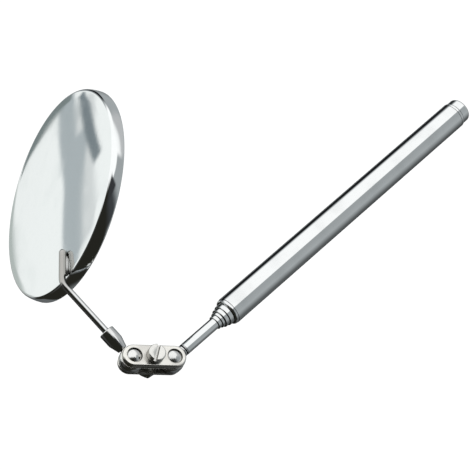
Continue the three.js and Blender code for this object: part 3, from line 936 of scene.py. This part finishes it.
# What the chrome sees round it: lit cards and dark flags, each as the direction of its middle
# (azimuth from +X towards +Y, and elevation), half its width and height, its tilt, the width of
# its soft edge, all in degrees, and its colour. Later ones stand in front of earlier ones.
SURROUNDINGS = {
    "far floor": (95, -27, 22, 9, 0, 10, (0.50, 0.52, 0.51)),
    "side wall": (8, 45, 40, 15, 0, 10, (1.08, 1.09, 1.09)),
    "ceiling": (0, 70, 180, 28, 0, 2.5, (1.13, 1.14, 1.14)),
    "ceiling over the far side": (60, 45, 50, 16, 0, 14, (1.13, 1.14, 1.14)),
    "far sheet": (125, 10, 40, 31, 0, 3, (1.0, 1.03, 1.02)),
    "foot of the far sheet": (98, -20, 12, 2.2, 12, 1.5, (0.52, 0.57, 0.55)),
    "pale shade": (101, -2.6, 9, 2.4, 8, 1.5, (0.74, 0.77, 0.77)),
    "near shade": (95.5, -6.2, 6.5, 1.5, 20, 1.0, (0.46, 0.51, 0.53)),
    "long shade": (104, -4.3, 8, 2.0, -4, 1.0, (0.46, 0.51, 0.53)),
    "dark shade": (96.0, -2.2, 6, 0.75, 27, 0.7, (0.21, 0.25, 0.27)),
    "edge of the far sheet": (87.2, -13, 2.9, 5.6, 0, 0.8, (0.22, 0.26, 0.26)),
    "dark corner": (62, 4, 12, 17, 0, 9, (0.012, 0.013, 0.015)),
    "dark floor": (57, -47, 10, 6, 0, 5, (0.03, 0.03, 0.03)),
    "side glow": (-4, 20, 26, 13, 0, 14, (0.54, 0.55, 0.56)),
    "left shade": (-100, 24, 27, 32, 0, 20, (0.05, 0.055, 0.06)),
    "upper left shade": (-99, 42, 32, 13, 0, 5, (0.04, 0.042, 0.045)),
    "left flag": (-144, 4, 51, 63, 0, 16, (0.02, 0.02, 0.016)),
    "back left flag": (156, -48, 38, 43, 0, 7, (0.02, 0.02, 0.016)),
    "far left corner": (158, 6, 14, 34, 0, 12, (0.06, 0.06, 0.06)),
}
# Heights over and under the horizon, and how bright the plain surroundings are there
PLAIN_GREY = ((-90, 0.15), (-62, 0.15), (-53, 0.125), (-42, 0.17), (-25, 0.32), (-8, 0.45),
              (25, 0.4), (90, 0.38))
GREY_TINT = (0.955, 1.02, 1.045)
BACKDROP = (1.0, 1.0, 1.0)
FLOOR_COLOUR = (0.12, 0.12, 0.12, 1)
FLOOR_ROUGHNESS = 0.9
FLOOR_GLOW = 0.97
FLOOR_SIZE = 3  # metres
FLOOR_DROP = 0.15  # metres; keeps the floor under the mirror wherever its arm swings

# The camera: its right and its up, its place from the mast's ball, and its lens and its sensor's
# width, all lengths in millimetres
CAMERA_RIGHT = Vector((0.6861, -0.7157, -0.1304))
CAMERA_UP = Vector((0.5755, 0.4244, 0.6990))
CAMERA_PLACE = Vector((-174.28, -262.12, 361.78))
CAMERA_LENS = 111.06
CAMERA_SENSOR = 36


def card_group():
    """A soft-edged rectangle on the sky, as a mask."""
    group, inside, out = node_group(
        "card",
        [("Azimuth", "NodeSocketFloat", None), ("Elevation", "NodeSocketFloat", None),
         ("Middle Azimuth", "NodeSocketFloat", 0.0), ("Middle Elevation", "NodeSocketFloat", 0.0),
         ("Half Width", "NodeSocketFloat", 1.0), ("Half Height", "NodeSocketFloat", 1.0),
         ("Tilt Cosine", "NodeSocketFloat", 1.0), ("Tilt Sine", "NodeSocketFloat", 0.0),
         ("Soft", "NodeSocketFloat", 0.1)],
        [("Mask", "NodeSocketFloat")],
    )
    get = inside.outputs
    across = calculate(group, "SUBTRACT", get["Azimuth"], get["Middle Azimuth"])
    wrap = add(group, "ShaderNodeMath", operation="WRAP")
    wrap.inputs[1].default_value = 180
    wrap.inputs[2].default_value = -180
    join(group, (across, wrap.inputs[0]))
    across = wrap.outputs["Value"]
    above = calculate(group, "SUBTRACT", get["Elevation"], get["Middle Elevation"])
    cosine, sine = get["Tilt Cosine"], get["Tilt Sine"]
    along = calculate(group, "ADD", calculate(group, "MULTIPLY", across, cosine),
                      calculate(group, "MULTIPLY", above, sine))
    over = calculate(group, "SUBTRACT", calculate(group, "MULTIPLY", above, cosine),
                     calculate(group, "MULTIPLY", across, sine))
    masks = []
    for distance, half in ((along, get["Half Width"]), (over, get["Half Height"])):
        outside = calculate(group, "SUBTRACT", calculate(group, "ABSOLUTE", distance, 0.0), half)
        masks.append(remap(group, calculate(group, "DIVIDE", outside, get["Soft"]),
                           -0.5, 0.5, 1.0, 0.0))
    join(group, (calculate(group, "MULTIPLY", *masks), out.inputs["Mask"]))
    return group


def studio_world():
    world = bpy.data.worlds.new("studio")
    world.use_nodes = True
    tree = world.node_tree
    where = add(tree, "ShaderNodeSeparateXYZ")
    join(tree, (add(tree, "ShaderNodeTexCoord").outputs["Generated"], where.inputs["Vector"]))
    x, y, z = (where.outputs[axis] for axis in "XYZ")
    degrees = 180 / math.pi
    azimuth = calculate(tree, "MULTIPLY", calculate(tree, "ARCTAN2", y, x), degrees)
    elevation = calculate(tree, "MULTIPLY", calculate(tree, "ARCSINE", z, 0.0), degrees)
    ramp = add(tree, "ShaderNodeValToRGB")
    elements = ramp.color_ramp.elements
    for height, _ in PLAIN_GREY[1:-1]:
        elements.new((height + 90) / 180)
    for element, (_, grey) in zip(elements, PLAIN_GREY):
        element.color = (*(grey * tint for tint in GREY_TINT), 1)
    share = fill(add(tree, "ShaderNodeMapRange"), From_Min=-90, From_Max=90)
    join(tree, (elevation, share.inputs["Value"]), (share.outputs["Result"], ramp.inputs["Fac"]))
    colour = ramp.outputs["Color"]
    card = card_group()
    for middle_azimuth, middle_elevation, width, half_height, tilt, soft, shade in (
            SURROUNDINGS.values()):
        mask = add(tree, "ShaderNodeGroup", node_tree=card)
        angle = math.radians(tilt)
        fill(mask, Middle_Azimuth=middle_azimuth, Middle_Elevation=middle_elevation,
             Half_Width=width, Half_Height=half_height, Tilt_Cosine=math.cos(angle),
             Tilt_Sine=math.sin(angle), Soft=soft)
        join(tree, (azimuth, mask.inputs["Azimuth"]), (elevation, mask.inputs["Elevation"]))
        colour = blend(tree, mask.outputs["Mask"], colour, shade)
    from_camera = add(tree, "ShaderNodeLightPath").outputs["Is Camera Ray"]
    join(tree, (blend(tree, from_camera, colour, BACKDROP),
                tree.nodes["Background"].inputs["Color"]))
    return world


def studio():
    scene = bpy.context.scene
    scene.view_settings.view_transform = "Standard"
    scene.world = studio_world()
    bm = bmesh.new()
    bmesh.ops.create_grid(bm, x_segments=1, y_segments=1, size=FLOOR_SIZE,
                          matrix=Matrix.Translation((0, 0, -FLOOR_DROP)))
    mesh = bpy.data.meshes.new("floor")
    bm.to_mesh(mesh)
    bm.free()
    floor = bpy.data.objects.new("floor", mesh)
    scene.collection.objects.link(floor)
    floor.visible_glossy = False
    lit, _, shader = new_material("backlit_white")
    fill(shader, Base_Color=FLOOR_COLOUR, Roughness=FLOOR_ROUGHNESS, Emission_Color=(1, 1, 1, 1),
         Emission_Strength=FLOOR_GLOW)
    mesh.materials.append(lit)


def camera():
    """Looks down by 45 degrees, from beyond the mirror's end of the mast."""
    back = CAMERA_RIGHT.cross(CAMERA_UP).normalized()
    up = back.cross(CAMERA_RIGHT)
    data = bpy.data.cameras.new("camera")
    data.lens = CAMERA_LENS
    data.sensor_width = CAMERA_SENSOR
    data.clip_start, data.clip_end = 0.01, 20
    made = bpy.data.objects.new("camera", data)
    bpy.context.scene.collection.objects.link(made)
    facing = Matrix((CAMERA_RIGHT, up, back)).transposed().to_4x4()
    made.matrix_world = Matrix.Translation(ball_a + CAMERA_PLACE * MM) @ facing
    bpy.context.scene.camera = made


handle_pieces()
mast_pieces()
ball_pieces()
stud_pieces()
clamp_pieces()
mirror_pieces()
kept_nodes()
studio()
camera()
